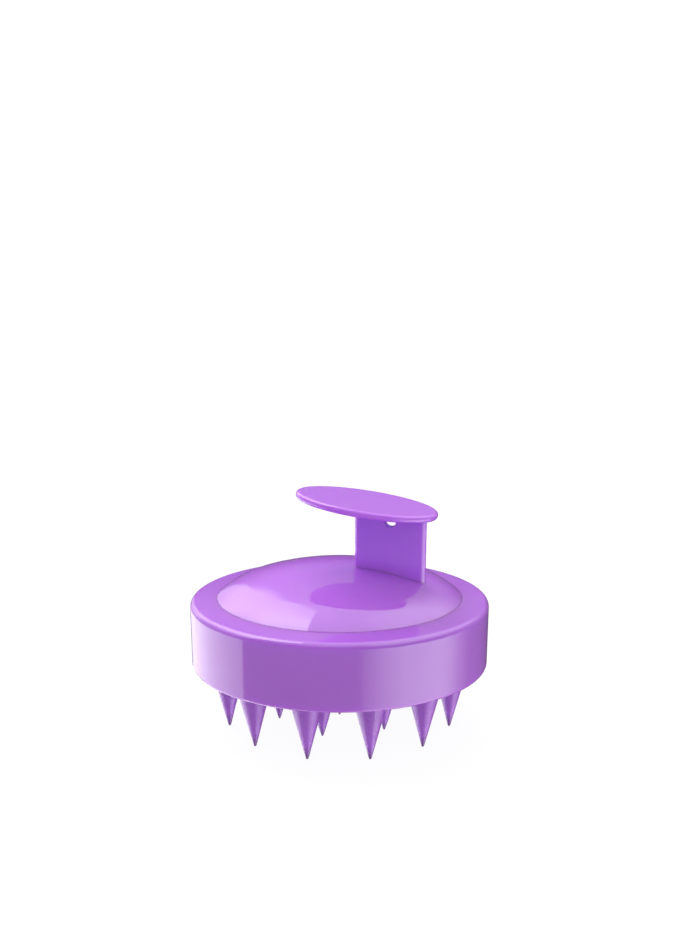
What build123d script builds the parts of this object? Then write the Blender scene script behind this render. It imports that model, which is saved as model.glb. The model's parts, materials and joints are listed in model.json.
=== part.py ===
from build123d import *
import os
from math import asin, atan, cos, radians, sin, sqrt

# Palm-held curry comb: a round drum with a domed top, a soft pad of cone teeth under it,
# and a T-shaped finger grip on top. Millimetres. +Z is up, and Z = 0 is the plane of the
# tooth tips. The Z axis is the drum's axis, and the grip is symmetric about the XZ plane,
# with its post on the +X side.

# ---- Driving dimensions -------------------------------------------------------------

# Drum
drum_radius = 40.0
drum_height = 17.7
drum_wall = 2.2
drum_top_round = 1.6
rim_slope = 0.1               # the rim climbs this much per mm towards the dome
drum_bottom_round = 0.8
tooth_reach = 16.6            # how far the tooth tips stand below the drum
rim_thickness = 4.0
dome_seat_depth = 1.8
dome_seat_width = 2.4
drum_rib_count = 12
drum_rib_depth = 3.2
drum_rib_thickness = 1.2
seam_gap = 0.05               # visible joint line between the drum and the dome cover
slip_gap = 0.2                # gap between hidden faces that slide together

# Dome cover
dome_radius = 32.8
dome_rise = 8.9               # apex above the drum's rim
dome_crown_radius = 80.0
dome_shoulder_start = 25.0    # where the crown turns into the tighter shoulder
dome_shoulder_radius = 24.0
dome_wall = 2.0
dome_edge_round = 0.12
dome_skirt_wall = 2.0
dome_skirt_depth = 2.6
seal_thickness = 0.6

# Finger grip
plate_half_length = 19.0
plate_half_width = 12.7
plate_thickness = 1.9
plate_edge_round = 0.85
plate_x = 7.3
plate_z = 59.94               # middle of the plate's thickness at its centre
plate_tilt = 6.94             # degrees, with the -X end up
web_width = 19.15
web_thickness = 2.8
web_x = 13.83
hanging_hole_radius = 1.6
hanging_hole_x = 13.9
hanging_hole_z = 55.9

# Grip fixing under the dome
tenon_width = 5.6
tenon_offset = 5.2
tenon_clearance = 0.1
tenon_end_z = 31.4
seat_length = 23.0
seat_width = 9.0
seat_z = 36.6                 # flat underside of the seat moulded under the dome
clamp_thickness = 2.4
grip_pin_radius = 1.0

# Teeth and pad
outer_tooth_count = 12
outer_ring_radius = 30.8
inner_tooth_count = 6
inner_ring_radius = 17.0
inner_ring_start = 30.0       # degrees
cone_slope = 0.256            # radius gained per millimetre of height
outer_tip_radius = 0.38
inner_tip_radius = 0.3
inner_tip_z = 0.6             # the inner ring's tips stop this far above the others
inner_tooth_waist = (1.96, 6.6)   # radius and height of a point on the inner tooth's curve
inner_tooth_root_radius = 3.6
tooth_root_round = 0.8
pad_recess = 1.2              # pad's face above the drum's lower edge
pad_thickness = 2.4
bead_radius = 0.7
plug_ring_radius = 26.0
plug_count = 4
plug_radius = 1.6
plug_head_radius = 2.5
plug_head_height = 1.2

# Backing plate and its screws
backing_gap = 0.1
backing_thickness = 2.3
backing_radius = 37.5
backing_rib_top = 26.0
backing_ring_rib_radius = 17.4
backing_rib_thickness = 1.2
backing_rib_count = 8
screw_ring_radius = 24.0
screw_count = 4
screw_start = 45.0            # degrees
screw_length = 12.0
screw_radius = 1.25
screw_head_radius = 2.5
screw_head_height = 1.8
washer_radius = 2.9
washer_thickness = 0.5
cup_radius = 4.6
cup_bore_radius = 3.2
cup_depth = 3.0
cup_floor = 2.0
boss_radius = 3.2
boss_gap = 0.3                # screws clamp the drum, so the bosses stay off the cups
fit_gap = 0.05                # radial gap round screws and pins

# ---- Heights and radii worked out from them -----------------------------------------

drum_bottom = tooth_reach
drum_top = drum_bottom + drum_height
drum_bore = drum_radius - drum_wall
rim_underside = drum_top - rim_thickness
dome_seat_z = drum_top - dome_seat_depth
dome_seat_radius = dome_radius + seam_gap
rim_inner_z = drum_top + rim_slope * (drum_radius - drum_top_round - dome_seat_radius)
rim_bore = dome_seat_radius - dome_seat_width
dome_foot = dome_seat_z + seal_thickness

crown_centre_z = drum_top + dome_rise - dome_crown_radius
shoulder_angle = asin(dome_shoulder_start / dome_crown_radius)
shoulder_centre_r = (dome_crown_radius - dome_shoulder_radius) * sin(shoulder_angle)
shoulder_centre_z = crown_centre_z + (dome_crown_radius - dome_shoulder_radius) * cos(shoulder_angle)

pad_face = drum_bottom + pad_recess
pad_back = pad_face + pad_thickness
bead_z = pad_face + pad_thickness / 2
backing_bottom = pad_back + backing_gap
backing_top = backing_bottom + backing_thickness
cup_floor_z = backing_bottom + cup_depth
cup_top = cup_floor_z + cup_floor
screw_seat_z = cup_floor_z - washer_thickness
boss_bottom = cup_top + boss_gap
screw_end_z = screw_seat_z + screw_length
clamp_bottom = seat_z - clamp_thickness
grip_pin_z = clamp_bottom - grip_pin_radius

tilt = radians(plate_tilt)
plate_plane = Plane(
    origin=(plate_x, 0, plate_z),
    x_dir=(cos(tilt), 0, -sin(tilt)),
    z_dir=(sin(tilt), 0, cos(tilt)),
)
tenon_places = [(web_x - tenon_offset, 0), (web_x + tenon_offset, 0)]
overlap = 1.0                 # how far added features run into the body they join

os.makedirs("parts", exist_ok=True)


def dome_z(r, inset):
    """Height of the dome's surface at radius r, on a face inset into the wall."""
    if r <= (dome_crown_radius - inset) * sin(shoulder_angle):
        return crown_centre_z + sqrt((dome_crown_radius - inset) ** 2 - r**2)
    reach = dome_shoulder_radius - inset
    return shoulder_centre_z + sqrt(reach**2 - (r - shoulder_centre_r) ** 2)


def dome_blank(inset, edge_r, bottom):
    """Solid under the dome's surface, inset into the wall, out to edge_r and down to bottom."""
    turn_r = (dome_crown_radius - inset) * sin(shoulder_angle)
    with BuildPart() as blank:
        with BuildSketch(Plane.XZ):
            with BuildLine():
                crown = RadiusArc((0, dome_z(0, inset)), (turn_r, dome_z(turn_r, inset)),
                                  dome_crown_radius - inset)
                shoulder = RadiusArc(crown @ 1, (edge_r, dome_z(edge_r, inset)),
                                     dome_shoulder_radius - inset)
                Polyline(shoulder @ 1, (edge_r, bottom), (0, bottom), crown @ 0)
            make_face()
        revolve(axis=Axis.Z)
    return blank.part


# ---- Finger grip: oval plate, flat post and two tenons in one moulding ---------------

with BuildPart() as web:
    with BuildSketch(Plane.XY.offset(seat_z)):
        with Locations((web_x, 0)):
            SlotOverall(web_width, web_thickness)
    extrude(amount=plate_z + plate_thickness - seat_z)
    split(bisect_by=plate_plane, keep=Keep.BOTTOM)
    add(dome_blank(0, dome_radius, dome_foot), mode=Mode.SUBTRACT)

with BuildPart() as finger_grip:
    with BuildSketch(plate_plane):
        Ellipse(plate_half_length, plate_half_width)
    extrude(amount=plate_thickness / 2, both=True)
    fillet(finger_grip.edges().filter_by(GeomType.ELLIPSE), plate_edge_round)
    add(web.part)
    with BuildSketch(Plane.XY.offset(tenon_end_z)):
        with Locations(*tenon_places):
            Rectangle(tenon_width, web_thickness)
    extrude(amount=drum_top + dome_rise + overlap - tenon_end_z)
    with BuildSketch(Plane.XZ):
        with Locations((hanging_hole_x, hanging_hole_z)):
            Circle(hanging_hole_radius)
        with Locations(*[(x, grip_pin_z) for x, y in tenon_places]):
            Circle(grip_pin_radius + fit_gap)
    extrude(amount=web_thickness, both=True, mode=Mode.SUBTRACT)

finger_grip.part.label = "finger_grip"
export_step(finger_grip.part, "parts/finger_grip.step")


# ---- Clamp plate: the bar that the tenons pass through under the dome ----------------

with BuildPart() as grip_clamp_plate:
    with BuildSketch(Plane.XY.offset(clamp_bottom)):
        with Locations((web_x, 0)):
            RectangleRounded(seat_length, seat_width, overlap)
        with Locations(*tenon_places):
            Rectangle(tenon_width + 2 * tenon_clearance, web_thickness + 2 * tenon_clearance,
                      mode=Mode.SUBTRACT)
    extrude(amount=clamp_thickness)

grip_clamp_plate.part.label = "grip_clamp_plate"
export_step(grip_clamp_plate.part, "parts/grip_clamp_plate.step")


# ---- Grip pins: one across each tenon, under the clamp plate -------------------------

with BuildPart() as grip_pins:
    with BuildSketch(Plane.XZ):
        with Locations(*[(x, grip_pin_z) for x, y in tenon_places]):
            Circle(grip_pin_radius)
    extrude(amount=seat_width / 2, both=True)
    chamfer(grip_pins.edges().filter_by(GeomType.CIRCLE), grip_pin_radius / 4)

grip_pins.part.label = "grip_pins"
export_step(grip_pins.part, "parts/grip_pins.step")


# ---- Dome cover: thin shell, centring skirt, grip seat and screw bosses --------------

with BuildPart() as dome_cavity:
    add(dome_blank(dome_wall, rim_bore - slip_gap - dome_skirt_wall, dome_foot - dome_skirt_depth))
    with BuildSketch(Plane.XY.offset(seat_z)):
        with Locations((web_x, 0)):
            Rectangle(seat_length, seat_width)
    extrude(amount=dome_rise, mode=Mode.SUBTRACT)
    with BuildSketch(Plane.XY.offset(dome_foot - dome_skirt_depth)):
        with PolarLocations(screw_ring_radius, screw_count, start_angle=screw_start):
            Circle(boss_radius)
    extrude(amount=drum_height, mode=Mode.SUBTRACT)

with BuildPart() as dome_cover:
    add(dome_blank(0, dome_radius, dome_foot))
    fillet(
        dome_cover.edges().filter_by(GeomType.CIRCLE).filter_by_position(
            Axis.Z, dome_foot + seal_thickness, dome_foot + dome_rise / 3),
        dome_edge_round,
    )
    with BuildSketch(Plane.XY.offset(dome_foot - dome_skirt_depth)):
        Circle(rim_bore - slip_gap)
    extrude(amount=dome_skirt_depth)
    add(dome_cavity.part, mode=Mode.SUBTRACT)
    with BuildSketch(Plane.XY.offset(boss_bottom)):
        with PolarLocations(screw_ring_radius, screw_count, start_angle=screw_start):
            Circle(boss_radius)
    extrude(amount=dome_foot - boss_bottom)
    with BuildSketch(Plane.XY.offset(boss_bottom)):
        with PolarLocations(screw_ring_radius, screw_count, start_angle=screw_start):
            Circle(screw_radius + fit_gap)
    extrude(amount=screw_end_z + overlap / 2 - boss_bottom, mode=Mode.SUBTRACT)
    with BuildSketch(Plane.XY.offset(seat_z)):
        with Locations(*tenon_places):
            Rectangle(tenon_width + 2 * tenon_clearance, web_thickness + 2 * tenon_clearance)
    extrude(amount=dome_rise, mode=Mode.SUBTRACT)

dome_cover.part.label = "dome_cover"
export_step(dome_cover.part, "parts/dome_cover.step")


# ---- Rim seal: soft ring between the dome cover and the drum -------------------------

with BuildPart() as rim_seal:
    with BuildSketch(Plane.XY.offset(dome_seat_z)):
        Circle(dome_radius - slip_gap)
        Circle(rim_bore + slip_gap, mode=Mode.SUBTRACT)
    extrude(amount=seal_thickness)
    fillet(rim_seal.edges().filter_by(GeomType.CIRCLE), seal_thickness / 4)

rim_seal.part.label = "rim_seal"
export_step(rim_seal.part, "parts/rim_seal.step")


# ---- Drum shell: side wall, sloping rim, ribs, and the groove for the pad's bead --------

with BuildPart() as drum_shell:
    with BuildSketch(Plane.XZ):
        with BuildLine():
            Polyline(
                (drum_radius, drum_bottom),
                (drum_radius, drum_top - rim_slope * drum_top_round),
                (dome_seat_radius, rim_inner_z),
                (dome_seat_radius, dome_seat_z),
                (rim_bore, dome_seat_z),
                (rim_bore, rim_underside),
                (drum_bore, rim_underside),
                (drum_bore, drum_bottom),
                close=True,
            )
        make_face()
        with Locations((drum_bore, bead_z)):
            Circle(bead_radius + backing_gap, mode=Mode.SUBTRACT)
    revolve(axis=Axis.Z)
    outer_edges = drum_shell.edges().filter_by(GeomType.CIRCLE).group_by(SortBy.RADIUS)[-1]
    fillet(outer_edges.sort_by(Axis.Z)[-1], drum_top_round)
    outer_edges = drum_shell.edges().filter_by(GeomType.CIRCLE).group_by(SortBy.RADIUS)[-1]
    fillet(outer_edges.sort_by(Axis.Z)[0], drum_bottom_round)
    with BuildSketch(Plane.XY.offset(backing_top)):
        with PolarLocations(drum_bore - drum_rib_depth / 2 + overlap / 2, drum_rib_count):
            Rectangle(drum_rib_depth + overlap, drum_rib_thickness)
    extrude(amount=rim_underside + overlap - backing_top)

drum_shell.part.label = "drum_shell"
export_step(drum_shell.part, "parts/drum_shell.step")


# ---- Backing plate: rigid ribbed disc with screw cups and holes for the pad's plugs --

with BuildPart() as backing_plate:
    with BuildSketch(Plane.XY.offset(backing_bottom)):
        Circle(backing_radius)
    extrude(amount=backing_thickness)
    with BuildSketch(Plane.XY.offset(backing_top - overlap)):
        Circle(backing_ring_rib_radius + backing_rib_thickness / 2)
        Circle(backing_ring_rib_radius - backing_rib_thickness / 2, mode=Mode.SUBTRACT)
        rib_middle = (backing_ring_rib_radius + drum_bore - drum_rib_depth - overlap) / 2
        rib_length = drum_bore - drum_rib_depth - overlap - backing_ring_rib_radius
        with PolarLocations(rib_middle, backing_rib_count, start_angle=screw_start / 2):
            Rectangle(rib_length, backing_rib_thickness)
    extrude(amount=backing_rib_top - backing_top + overlap)
    with BuildSketch(Plane.XY.offset(backing_bottom)):
        with PolarLocations(screw_ring_radius, screw_count, start_angle=screw_start):
            Circle(cup_radius)
    extrude(amount=cup_top - backing_bottom)
    with BuildSketch(Plane.XY.offset(backing_bottom)):
        with PolarLocations(screw_ring_radius, screw_count, start_angle=screw_start):
            Circle(cup_bore_radius)
    extrude(amount=cup_depth, mode=Mode.SUBTRACT)
    with BuildSketch(Plane.XY.offset(backing_bottom)):
        with PolarLocations(screw_ring_radius, screw_count, start_angle=screw_start):
            Circle(screw_radius + 4 * fit_gap)
        with PolarLocations(plug_ring_radius, plug_count):
            Circle(plug_radius + backing_gap)
        Circle(plug_radius + backing_gap)
    extrude(amount=cup_top - backing_bottom, mode=Mode.SUBTRACT)

backing_plate.part.label = "backing_plate"
export_step(backing_plate.part, "parts/backing_plate.step")


# ---- Body screws and their washers, up through the backing plate into the dome -------

with BuildPart() as screw:
    with BuildSketch(Plane.XY.offset(screw_seat_z - screw_head_height)):
        Circle(screw_head_radius)
    extrude(amount=screw_head_height)
    fillet(screw.edges().filter_by(GeomType.CIRCLE).sort_by(Axis.Z)[0], screw_head_height / 3)
    with BuildSketch(Plane.XY.offset(screw_seat_z)):
        Circle(screw_radius)
    extrude(amount=screw_length)
    chamfer(screw.edges().filter_by(GeomType.CIRCLE).sort_by(Axis.Z)[-1], screw_radius / 2)
    with BuildSketch(Plane.XY.offset(screw_seat_z - screw_head_height)):
        Rectangle(screw_head_radius, screw_radius / 3)
        Rectangle(screw_radius / 3, screw_head_radius)
    extrude(amount=screw_head_height / 2, mode=Mode.SUBTRACT)

with BuildPart() as body_screws:
    with PolarLocations(screw_ring_radius, screw_count, start_angle=screw_start):
        add(screw.part)

body_screws.part.label = "body_screws"
export_step(body_screws.part, "parts/body_screws.step")

with BuildPart() as screw_washers:
    with BuildSketch(Plane.XY.offset(screw_seat_z)):
        with PolarLocations(screw_ring_radius, screw_count, start_angle=screw_start):
            Circle(washer_radius)
            Circle(screw_radius + 2 * fit_gap, mode=Mode.SUBTRACT)
    extrude(amount=washer_thickness)

screw_washers.part.label = "screw_washers"
export_step(screw_washers.part, "parts/screw_washers.step")


# ---- Tooth pad: soft moulding with the teeth, an edge bead and plugs on its back -----

cone_angle = atan(cone_slope)
cone_root_z = pad_face - tooth_root_round
cone_tip = (outer_tip_radius * cos(cone_angle), outer_tip_radius * (1 - sin(cone_angle)))
cone_root = (cone_tip[0] + cone_slope * (cone_root_z - cone_tip[1]), cone_root_z)

with BuildPart() as outer_tooth:
    with BuildSketch(Plane.XZ):
        with BuildLine():
            tip = TangentArc((0, 0), cone_tip, tangent=(1, 0))
            side = Line(tip @ 1, cone_root)
            root = TangentArc(side @ 1, (cone_root[0] + tooth_root_round, pad_face), tangent=side % 1)
            Polyline(root @ 1, (cone_root[0] + tooth_root_round, pad_face + overlap),
                     (0, pad_face + overlap), (0, 0))
        make_face()
    revolve(axis=Axis.Z)


def curved_tooth(tip_z):
    """Tooth with a curved flank and its tip at tip_z, as in the inner ring and the middle."""
    with BuildPart() as tooth:
        with BuildSketch(Plane.XZ):
            with BuildLine():
                tip = TangentArc((0, tip_z), (inner_tip_radius, tip_z + inner_tip_radius), tangent=(1, 0))
                side = ThreePointArc(tip @ 1, inner_tooth_waist,
                                     (inner_tooth_root_radius, pad_face - tooth_root_round))
                root = TangentArc(side @ 1, (inner_tooth_root_radius + tooth_root_round, pad_face),
                                  tangent=side % 1)
                Polyline(root @ 1, (inner_tooth_root_radius + tooth_root_round, pad_face + overlap),
                         (0, pad_face + overlap), (0, tip_z))
            make_face()
        revolve(axis=Axis.Z)
    return tooth.part


with BuildPart() as plug:
    with BuildSketch(Plane.XY.offset(pad_back - overlap)):
        Circle(plug_radius)
    extrude(amount=backing_top + backing_gap - pad_back + overlap)
    with BuildSketch(Plane.XY.offset(backing_top + backing_gap)):
        Circle(plug_head_radius)
    extrude(amount=plug_head_height, taper=30)

with BuildPart() as tooth_pad:
    with BuildSketch(Plane.XZ):
        with BuildLine():
            Polyline((0, pad_face), (drum_bore - slip_gap, pad_face),
                     (drum_bore - slip_gap, pad_back), (0, pad_back), close=True)
        make_face()
        with Locations((drum_bore - backing_gap, bead_z)):
            Circle(bead_radius)
    revolve(axis=Axis.Z)
    with PolarLocations(outer_ring_radius, outer_tooth_count):
        add(outer_tooth.part)
    with PolarLocations(inner_ring_radius, inner_tooth_count, start_angle=inner_ring_start):
        add(curved_tooth(inner_tip_z))
    add(curved_tooth(0))
    with PolarLocations(plug_ring_radius, plug_count):
        add(plug.part)
    add(plug.part)

tooth_pad.part.label = "tooth_pad"
export_step(tooth_pad.part, "parts/tooth_pad.step")
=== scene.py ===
import json
from math import cos, pi, radians, sin

import bpy
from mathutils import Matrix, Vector

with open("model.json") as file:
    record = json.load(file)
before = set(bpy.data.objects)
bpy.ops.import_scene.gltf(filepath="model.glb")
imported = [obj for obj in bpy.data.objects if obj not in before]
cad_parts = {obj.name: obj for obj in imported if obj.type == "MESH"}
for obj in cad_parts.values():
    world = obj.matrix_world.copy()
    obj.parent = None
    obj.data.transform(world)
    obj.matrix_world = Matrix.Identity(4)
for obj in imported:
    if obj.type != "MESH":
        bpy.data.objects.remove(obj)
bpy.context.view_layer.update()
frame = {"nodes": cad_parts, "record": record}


# ---- Node helper ----------------------------------------------------------------------


class Nodes:
    """Adds nodes to one node tree, with their values and links in one call."""

    def __init__(self, tree):
        self.tree = tree

    def add(self, kind, output=0, links=None, **values):
        """Adds a shader node and returns one of its outputs.

        links maps inputs to numbers or other nodes' outputs, and values sets inputs or properties.
        """
        made = self.tree.nodes.new("ShaderNode" + kind)
        for key, value in values.items():
            if key in made.inputs:
                made.inputs[key].default_value = value
            else:
                setattr(made, key, value)
        for key, source in (links or {}).items():
            if isinstance(source, (int, float)):
                made.inputs[key].default_value = source
            else:
                self.tree.links.new(source, made.inputs[key])
        return made.outputs[output]

    def math(self, operation, first, second=0.0):
        return self.add("Math", operation=operation, links={0: first, 1: second})

    def times(self, first, second):
        return self.math("MULTIPLY", first, second)

    def plus(self, first, second):
        return self.math("ADD", first, second)

    def ramp(self, source, stops):
        """Colour ramp over source; stops are (position, colour) pairs."""
        made = self.add("ValToRGB", links={"Fac": source}).node
        elements = made.color_ramp.elements
        while len(elements) < len(stops):
            elements.new(0.5)
        for element, (position, colour) in zip(elements, stops):
            element.position = position
            element.color = colour
        return made.outputs["Color"]

    def remap(self, source, low, high, to_low, to_high):
        """Takes low..high to to_low..to_high in a straight line, and holds the ends."""
        return self.add("MapRange", links={
            "Value": source, "From Min": low, "From Max": high, "To Min": to_low, "To Max": to_high})

    def noise(self, cells, detail=2.0, roughness=0.5):
        """Noise that is fixed to the object, with cells per metre."""
        place = self.add("TexCoord", output="Object")
        return self.add("TexNoise", links={"Vector": place},
                        Scale=cells, Detail=detail, Roughness=roughness)


# ---- Materials ------------------------------------------------------------------------

DARK_TO_LIGHT = (0.3, 0.7)          # noise values between which the colour drifts
GLOSSY_TO_DULL = (0.35, 0.75)       # and between which the gloss falls

TIP_HEIGHT = 0.004                  # the teeth darken over this height, in metres
TIP_SHARE = 0.2                     # share of the colour that is left at the tip
TIP_WANDER = 0.0005                 # how far the edge of the dark wanders, in metres
TIP_CELLS = 900.0


def blank_material(name):
    material = bpy.data.materials.new(name)
    material.use_nodes = True
    tree = material.node_tree
    return material, tree.nodes["Principled BSDF"], Nodes(tree)


def make_material(name, colour, drift, gloss, flow, marks, grain, grain_depth, **sockets):
    """A moulded or plated finish: drifting colour, handling marks in the gloss, and a fine grain.

    drift is the share by which the colour drifts, gloss the lowest and highest roughness, and
    flow, marks and grain are the noise cells per metre of the colour, the gloss and the bump.
    grain_depth is in metres, and sockets holds constants for the shader.
    """
    material, shader, nodes = blank_material(name)
    dark = tuple(channel * (1.0 - drift) for channel in colour) + (1.0,)
    light = tuple(min(channel * (1.0 + drift), 1.0) for channel in colour) + (1.0,)
    drifting = nodes.ramp(nodes.noise(flow, detail=3.0), list(zip(DARK_TO_LIGHT, (dark, light))))
    handled = nodes.remap(nodes.noise(marks, detail=5.0, roughness=0.6), *GLOSSY_TO_DULL, *gloss)
    bump = nodes.add("Bump", output="Normal", links={"Height": nodes.noise(grain)},
                     Strength=1.0, Distance=grain_depth)
    nodes.tree.links.new(drifting, shader.inputs["Base Color"])
    nodes.tree.links.new(handled, shader.inputs["Roughness"])
    nodes.tree.links.new(bump, shader.inputs["Normal"])
    for socket, value in sockets.items():
        shader.inputs[socket.replace("_", " ")].default_value = value
    return material


def paint_tip_shade(material):
    """Painted shade on the teeth where they meet the floor: the colour falls to TIP_SHARE of itself
    at z = 0.
    """
    nodes = Nodes(material.node_tree)
    base = material.node_tree.nodes["Principled BSDF"].inputs["Base Color"]
    unshaded = base.links[0].from_socket
    place = nodes.add("TexCoord", output="Object")
    height = nodes.add("SeparateXYZ", output="Z", links={"Vector": place})
    wander = nodes.remap(nodes.noise(TIP_CELLS), 0.0, 1.0, -TIP_WANDER, TIP_WANDER)
    share = nodes.remap(nodes.plus(height, wander), 0.0, TIP_HEIGHT, TIP_SHARE, 1.0)
    darkened = nodes.add("VectorMath", operation="SCALE", links={0: unshaded, "Scale": share})
    nodes.tree.links.new(darkened, base)


GLOSS_PLASTIC = dict(
    drift=0.025, gloss=(0.035, 0.075), flow=45.0, marks=260.0, grain=700.0, grain_depth=1.2e-6,
    IOR=1.5, Subsurface_Weight=0.5, Subsurface_Scale=0.005, Subsurface_Radius=(0.8, 0.2, 1.0))
FINISHES = {
    "body_plastic": dict(colour=(0.487, 0.161, 0.770), **GLOSS_PLASTIC),
    # The body plastic darkened by a tenth, as painted shade on the drum.
    "drum_plastic_painted_shade": dict(colour=(0.438, 0.145, 0.693), **GLOSS_PLASTIC),
    "pad_rubber": dict(
        colour=(0.385, 0.122, 0.615), drift=0.05, gloss=(0.26, 0.42),
        flow=90.0, marks=420.0, grain=2600.0, grain_depth=2.5e-6,
        IOR=1.45, Subsurface_Weight=0.5, Subsurface_Scale=0.003, Subsurface_Radius=(0.8, 0.25, 1.0)),
    "inner_plastic": dict(
        colour=(0.21, 0.063, 0.42), drift=0.06, gloss=(0.42, 0.58),
        flow=60.0, marks=500.0, grain=1800.0, grain_depth=8e-6, IOR=1.46),
    "steel": dict(
        colour=(0.56, 0.56, 0.58), drift=0.04, gloss=(0.22, 0.38),
        flow=150.0, marks=900.0, grain=3000.0, grain_depth=3e-6, Metallic=1.0),
    "seal_rubber": dict(
        colour=(0.13, 0.04, 0.26), drift=0.06, gloss=(0.6, 0.75),
        flow=90.0, marks=600.0, grain=2200.0, grain_depth=8e-6, IOR=1.45),
}
PAINTED_SHADE_COPIES = {"drum_shell": "drum_plastic_painted_shade"}         # a darker copy of the body plastic: painted shade on the drum

materials = {name: make_material(name, **finish) for name, finish in FINISHES.items()}
# Painted shade on the teeth, darker towards their tips at the floor.
paint_tip_shade(materials["pad_rubber"])
slots = {row["node"]: row["material_slot"] for row in frame["record"]["subparts"]}
for name, node_object in frame["nodes"].items():
    node_object.data.materials.clear()
    node_object.data.materials.append(materials[PAINTED_SHADE_COPIES.get(name, slots[name])])


# ---- Camera ---------------------------------------------------------------------------

AZIMUTH = radians(15.4)
ELEVATION = radians(17.33)
AIM = Vector((0.0, 0.0, 0.0293))
DISTANCE = 0.310
SENSOR_WIDTH = 36.0
FOCAL_LENGTH = 43.63
SHIFT_X = 0.0074
SHIFT_Y = 0.1496
CLIP_START = 0.01


def unit_vector(azimuth, elevation):
    """Azimuth runs from -Y towards +X."""
    return Vector((
        sin(azimuth) * cos(elevation),
        -cos(azimuth) * cos(elevation),
        sin(elevation),
    ))


camera_data = bpy.data.cameras.new("camera")
camera_data.sensor_width = SENSOR_WIDTH
camera_data.lens = FOCAL_LENGTH
camera_data.shift_x = SHIFT_X
camera_data.shift_y = SHIFT_Y
camera_data.clip_start = CLIP_START
camera = bpy.data.objects.new("camera", camera_data)
bpy.context.scene.collection.objects.link(camera)
towards_camera = unit_vector(AZIMUTH, ELEVATION)
camera.location = AIM + DISTANCE * towards_camera
camera.rotation_euler = (-towards_camera).to_track_quat("-Z", "Y").to_euler()
bpy.context.scene.camera = camera
bpy.context.scene.view_settings.view_transform = "Standard"


# ---- Studio light ---------------------------------------------------------------------
#
# All the light comes from the world. Gloss mirrors a sky, softboxes and bands on the floor,
# and matt surfaces see a softer light without them. Angles are in degrees, elevation is
# from the horizon, and azimuth runs from -Y towards +X. The tables hold (angle, radiance)
# pairs, or (angle, share) pairs for the ones that scale another table.

BRIGHTEST = 8.0                     # no table goes above this radiance

# For gloss: the sky by elevation, and the share of it left at the horizon by azimuth, which
# makes it dark behind the object. From SKY_WHOLE up, all of the sky is there.
SKY = [(-90, 0.55), (-30, 0.55), (-2, 0.5), (4, 0.15), (12, 0.2), (19, 0.42), (26, 0.48),
       (34, 0.7), (42, 1.02), (50, 1.65), (58, 2.2), (66, 2.5), (80, 2.8)]
HORIZON_SHARE = [(-180, 0.15), (-155, 0.2), (-140, 0.6), (-120, 1.0), (110, 1.0), (135, 0.5),
                 (160, 0.2), (180, 0.15)]
SKY_WHOLE = 12.0

# For gloss: the softboxes, each a share by elevation times a radiance by azimuth. The left
# one has a rear part with a height of its own, and stops at a straight top edge.
REAR_HEIGHT = [(-3, 0.0), (0, 0.42), (12, 0.5), (19, 0.66), (26, 0.83), (34, 0.95), (42, 1.0)]
REAR_SPAN = [(-148, 0.0), (-147, 1.7), (-135, 2.5), (-122, 3.7), (-108, 0.0)]
LEFT_HEIGHT = [(-3, 0.0), (0, 0.12), (25, 0.18), (40, 0.7), (52, 1.0)]
LEFT_SPAN = [(-122, 0.0), (-108, 5.2), (-63, 5.2), (-61.5, 0.0)]
LEFT_TOP = 3.75                     # height of the top edge, over its distance from the YZ plane
LEFT_TOP_BLUR = 0.15                # the edge fades out over this much more
RIGHT_HEIGHT = [(-3, 0.0), (0, 0.12), (18, 0.25), (34, 1.0), (50, 0.9), (66, 0.5), (82, 0.0)]
RIGHT_SPAN = [(33, 0.0), (60, 2.3), (120, 2.3), (150, 2.0), (157, 1.5), (165, 0.7),
              (173, 0.1), (180, 0.0)]

# For gloss: the bright bands on the floor under the softboxes, by azimuth, and the
# elevations between which they fade out towards the horizon
FLOOR_BANDS = [(-148, 0.0), (-147, 0.9), (-135, 1.8), (-110, 2.9), (-85, 3.1), (-63, 2.6),
               (-61.5, 0.1), (28, 0.1), (32, 0.35), (33, 0.85), (45, 2.2), (57, 3.3),
               (65, 3.95), (92, 3.9), (100, 3.5), (109, 2.2), (119, 0.8), (130, 0.1), (140, 0.0)]
BANDS_FADE = (-14.0, -6.0)

# For matt surfaces: an even sky by elevation, a key light by angle off its middle, and the
# floor's glow by azimuth
EVEN = [(0, 0.5), (20, 0.74), (40, 0.9), (60, 0.86), (90, 0.75)]
KEY_AZIMUTH = radians(-140.0)
KEY_ELEVATION = radians(40.0)
KEY_LOBE = [(0, 3.4), (20, 2.7), (35, 1.1), (50, 0.0)]
FLOOR_GLOW = [(-180, 0.72), (55, 0.66), (78, 1.25), (135, 1.25), (170, 0.72)]

TO_DEGREES = 180.0 / pi
NEARLY_ZERO = 0.001                 # keeps a division finite

world = bpy.data.worlds.new("world")
world.use_nodes = True
bpy.context.scene.world = world
sky = Nodes(world.node_tree)
direction = sky.add("TexCoord", output="Generated")
across, along, up = (
    sky.add("SeparateXYZ", output=axis, links={"Vector": direction}) for axis in ("X", "Y", "Z"))
azimuth = sky.times(sky.math("ARCTAN2", across, sky.times(along, -1.0)), TO_DEGREES)
elevation = sky.times(sky.math("ARCSINE", up), TO_DEGREES)


def looked_up(table, angle, lowest, highest):
    """The table's value at an angle that runs from lowest to highest."""
    stops = [((at - lowest) / (highest - lowest), (value / BRIGHTEST,) * 3 + (1.0,))
             for at, value in table]
    position = sky.remap(angle, lowest, highest, 0.0, 1.0)
    return sky.times(sky.ramp(position, stops), BRIGHTEST)


def by_elevation(table):
    return looked_up(table, elevation, -90.0, 90.0)


def by_azimuth(table):
    return looked_up(table, azimuth, -180.0, 180.0)


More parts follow.
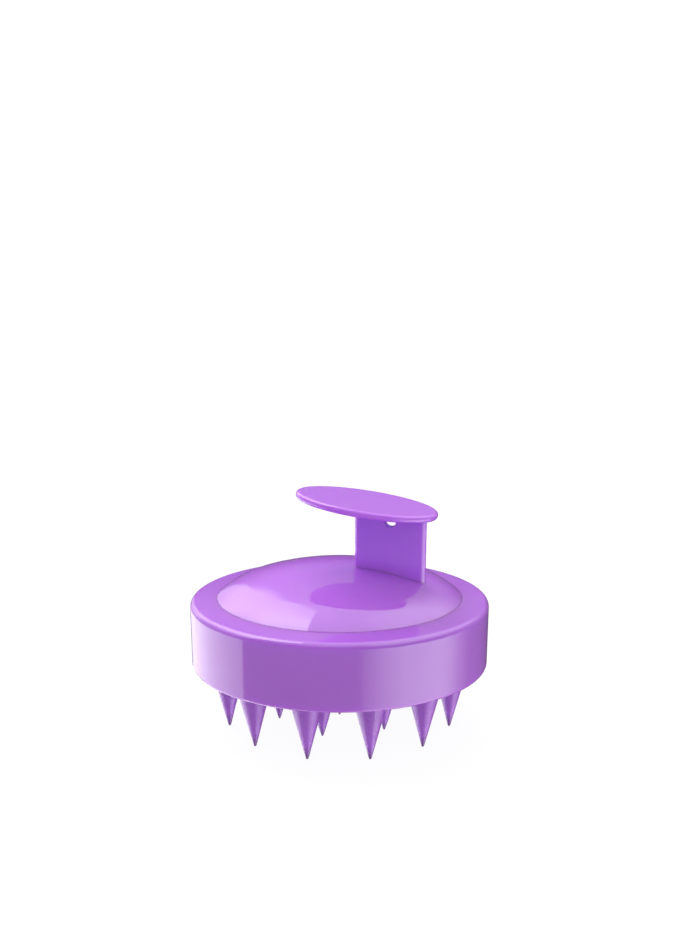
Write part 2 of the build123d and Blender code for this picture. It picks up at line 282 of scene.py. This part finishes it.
# What gloss mirrors
near_horizon = sky.remap(elevation, 0.0, SKY_WHOLE, 1.0, 0.0)
sky_share = sky.plus(sky.times(by_azimuth(HORIZON_SHARE), near_horizon),
                     sky.math("SUBTRACT", 1.0, near_horizon))
mirrored_sky = sky.times(by_elevation(SKY), sky_share)
rise = sky.math("DIVIDE", up, sky.math("MAXIMUM", sky.math("ABSOLUTE", across), NEARLY_ZERO))
under_top = sky.remap(rise, LEFT_TOP, LEFT_TOP + LEFT_TOP_BLUR, 1.0, 0.0)
rear_part = sky.times(by_elevation(REAR_HEIGHT), by_azimuth(REAR_SPAN))
left_part = sky.times(by_elevation(LEFT_HEIGHT), by_azimuth(LEFT_SPAN))
left_softbox = sky.times(sky.plus(rear_part, left_part), under_top)
right_softbox = sky.times(by_elevation(RIGHT_HEIGHT), by_azimuth(RIGHT_SPAN))
floor_bands = sky.times(by_azimuth(FLOOR_BANDS), sky.remap(elevation, *BANDS_FADE, 1.0, 0.0))
mirrored = sky.plus(sky.plus(mirrored_sky, floor_bands), sky.plus(left_softbox, right_softbox))

# What lights matt surfaces
above = sky.math("GREATER_THAN", up, 0.0)
below = sky.math("SUBTRACT", 1.0, above)
facing_key = sky.add("VectorMath", output="Value", operation="DOT_PRODUCT", links={0: direction})
facing_key.node.inputs[1].default_value = unit_vector(KEY_AZIMUTH, KEY_ELEVATION)
off_key = sky.times(sky.math("ARCCOSINE", facing_key), TO_DEGREES)
key_light = looked_up(KEY_LOBE, off_key, 0.0, 180.0)
from_above = sky.times(sky.plus(by_elevation(EVEN), key_light), above)
soft = sky.plus(from_above, sky.times(below, by_azimuth(FLOOR_GLOW)))

# The camera sees white
is_glossy = sky.add("LightPath", output="Is Glossy Ray")
is_camera = sky.add("LightPath", output="Is Camera Ray")
light = sky.add("Mix", output="Result", data_type="FLOAT",
                links={"Factor": is_glossy, "A": soft, "B": mirrored})
background = world.node_tree.nodes["Background"]
background.inputs["Color"].default_value = (1.0, 1.0, 1.0, 1.0)
world.node_tree.links.new(sky.math("MAXIMUM", light, is_camera), background.inputs["Strength"])


# ---- Floor ----------------------------------------------------------------------------
#
# A white floor that glows, with a dark base colour, so that it takes only a faint contact
# shadow. The light that it reflects is part of the world, so only the camera sees the floor
# itself, and from below it is see-through.

FLOOR_HALF = 6.0
FLOOR_BASE = 0.08
FLOOR_EMISSION = 0.94

floor_mesh = bpy.data.meshes.new("floor")
floor_mesh.from_pydata(
    [(x * FLOOR_HALF, y * FLOOR_HALF, 0.0) for x, y in ((-1, -1), (1, -1), (1, 1), (-1, 1))],
    [], [(0, 1, 2, 3)])
floor = bpy.data.objects.new("floor", floor_mesh)
bpy.context.scene.collection.objects.link(floor)
floor_material, floor_shader, floor_nodes = blank_material("floor")
floor_shader.inputs["Base Color"].default_value = (FLOOR_BASE, FLOOR_BASE, FLOOR_BASE, 1.0)
floor_shader.inputs["Roughness"].default_value = 1.0
floor_shader.inputs["Specular IOR Level"].default_value = 0.0
floor_shader.inputs["Emission Color"].default_value = (1.0, 1.0, 1.0, 1.0)
floor_shader.inputs["Emission Strength"].default_value = FLOOR_EMISSION
see_through = floor_nodes.add("BsdfTransparent", output="BSDF")
from_below = floor_nodes.add("NewGeometry", output="Backfacing")
one_sided = floor_nodes.add(
    "MixShader", output="Shader",
    links={0: from_below, 1: floor_shader.outputs["BSDF"], 2: see_through})
floor_nodes.tree.links.new(
    one_sided, floor_nodes.tree.nodes["Material Output"].inputs["Surface"])
floor_mesh.materials.append(floor_material)
floor.visible_glossy = False
floor.visible_diffuse = False
floor.visible_shadow = False
